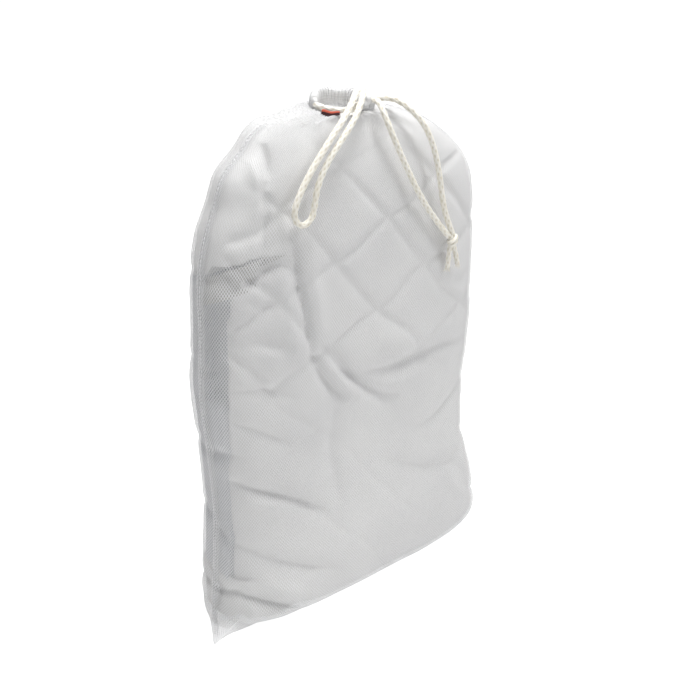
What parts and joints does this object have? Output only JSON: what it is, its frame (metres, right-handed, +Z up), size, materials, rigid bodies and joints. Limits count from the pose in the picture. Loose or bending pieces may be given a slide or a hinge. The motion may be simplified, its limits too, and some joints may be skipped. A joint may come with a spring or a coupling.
{
  "type": "mesh laundry bag",
  "caption": "Drawstring laundry bag of fine net, standing upright and filled with folded quilted bedding; the free cord ends lift off its front.",
  "frame": {"origin": "on the ground under the middle of the bag", "axes": "+Z up, -Y towards the bag's front, +X along its width"},
  "size_m": [0.4, 0.1145, 0.536],
  "materials": {
    "net": "matte",
    "casing": "matte",
    "seam_tape": "matte",
    "thread": "satin",
    "cord": "matte",
    "label": "satin",
    "quilt": "matte",
    "sheet": "matte",
    "towel": "matte"
  },
  "bodies": {
    "bag": {"front_net_panel": "net", "back_net_panel": "net", "left_side_seam": "seam_tape", "right_side_seam": "seam_tape", "bottom_seam": "seam_tape", "left_seam_thread": "thread", "right_seam_thread": "thread", "bottom_seam_thread": "thread", "front_casing": "casing", "back_casing": "casing", "front_casing_thread": "thread", "back_casing_thread": "thread", "side_label": "label", "drawcord_in_casing": "cord", "quilted_pad": "quilt", "upper_sheet_bundle": "sheet", "sheet_flap": "sheet", "side_towel": "towel", "corner_cloth": "sheet"},
    "cord_bight": {"drawcord_bight": "cord"},
    "cord_ends": {"drawcord_end_a": "cord", "drawcord_end_b": "cord", "drawcord_knot": "cord", "drawcord_tail_a": "cord", "drawcord_tail_b": "cord"}
  },
  "joints": [
    {"name": "bight_lift", "type": "hinge", "parent": "bag", "child": "cord_bight", "pos_m": [0.01, -0.014, 0.533], "axis": [-1, 0, 0], "range_deg": [0, 60]},
    {"name": "ends_lift", "type": "hinge", "parent": "bag", "child": "cord_ends", "pos_m": [0.0255, -0.016, 0.523], "axis": [-1, 0, 0], "range_deg": [0, 60]}
  ]
}
